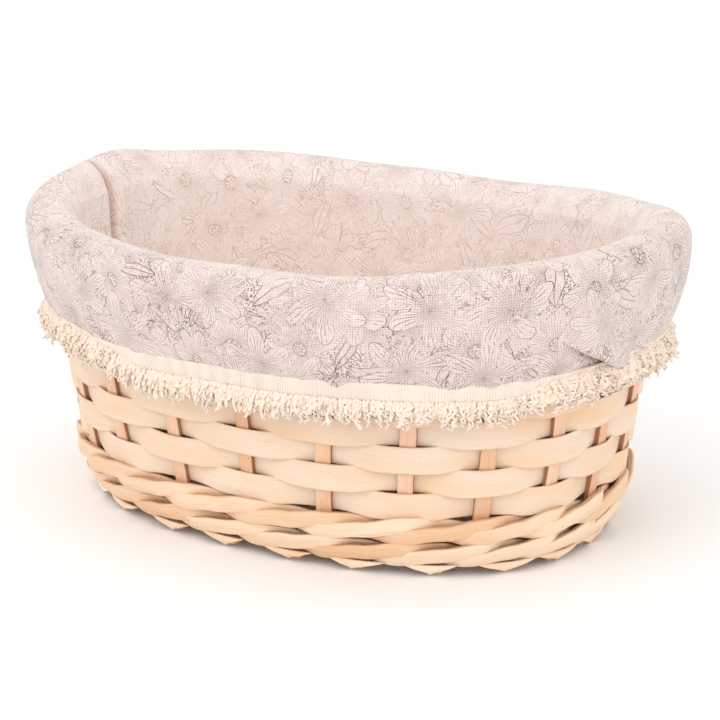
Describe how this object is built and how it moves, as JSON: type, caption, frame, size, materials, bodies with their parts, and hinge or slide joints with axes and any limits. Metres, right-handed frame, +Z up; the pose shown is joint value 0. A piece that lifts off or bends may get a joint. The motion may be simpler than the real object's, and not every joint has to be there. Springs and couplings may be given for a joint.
{
  "type": "banneton basket",
  "caption": "Oval woven bread basket of splint and split willow, with a lift-out printed cloth liner that folds over the rim and ends in an elastic hem with a cotton fringe.",
  "frame": {"origin": "middle of the basket's footprint, on the surface it stands on", "axes": "+X along the oval, +Y across it, +Z up"},
  "size_m": [0.2997, 0.2237, 0.139],
  "materials": {
    "peeled_stake": "peeled willow stakes, matte, warm tan with fine grain",
    "chip_splint": "thin poplar chip splint, satin, pale cream with fine straight grain",
    "split_willow": "split peeled willow rod, satin, pale orange with brown streaks and nicks",
    "base_chip": "flat chip splint, matte",
    "lashing_strand": "thin flat split cane strand, satin",
    "printed_linen": "plain-weave cotton and linen cloth, blush white, printed with fine taupe line flowers",
    "cotton_fringe": "natural cotton, ribbed header tape and curly brushed fringe",
    "elastic": "woven elastic band, off-white"
  },
  "bodies": {
    "basket": {"base_cross_chips": "base_chip", "base_long_chips": "base_chip", "foot_folds": "peeled_stake", "rim_filler": "split_willow", "rim_hoop_inner": "split_willow", "rim_hoop_outer": "split_willow", "rim_lashing": "lashing_strand", "splint_row_01": "chip_splint", "splint_row_02": "chip_splint", "splint_row_03": "chip_splint", "splint_row_04": "chip_splint", "splint_row_05": "chip_splint", "splint_row_06": "chip_splint", "splint_row_07": "chip_splint", "splint_row_08": "chip_splint", "stake_01": "peeled_stake", "stake_02": "peeled_stake", "stake_03": "peeled_stake", "stake_04": "peeled_stake", "stake_05": "peeled_stake", "stake_06": "peeled_stake", "stake_07": "peeled_stake", "stake_08": "peeled_stake", "stake_09": "peeled_stake", "stake_10": "peeled_stake", "stake_11": "peeled_stake", "stake_12": "peeled_stake", "stake_13": "peeled_stake", "stake_14": "peeled_stake", "stake_15": "peeled_stake", "stake_16": "peeled_stake", "stake_17": "peeled_stake", "stake_18": "peeled_stake", "stake_19": "peeled_stake", "stake_20": "peeled_stake", "stake_21": "peeled_stake", "stake_22": "peeled_stake", "wale_rod_1": "split_willow", "wale_rod_2": "split_willow", "wale_rod_3": "split_willow", "wale_rod_4": "split_willow", "wale_rod_5": "split_willow", "wale_rod_6": "split_willow"},
    "liner": {"fringe": "cotton_fringe", "fringe_tape": "cotton_fringe", "hem_elastic": "elastic", "liner_base_panel": "printed_linen", "liner_skirt": "printed_linen", "liner_wall_back": "printed_linen", "liner_wall_front": "printed_linen"}
  },
  "joints": [
    {"name": "liner_lift", "type": "slide", "parent": "basket", "child": "liner", "axis": [0, 0, 1], "range_m": [0, 0.16], "deforming": ["liner_skirt", "hem_elastic", "fringe_tape", "fringe"]}
  ]
}
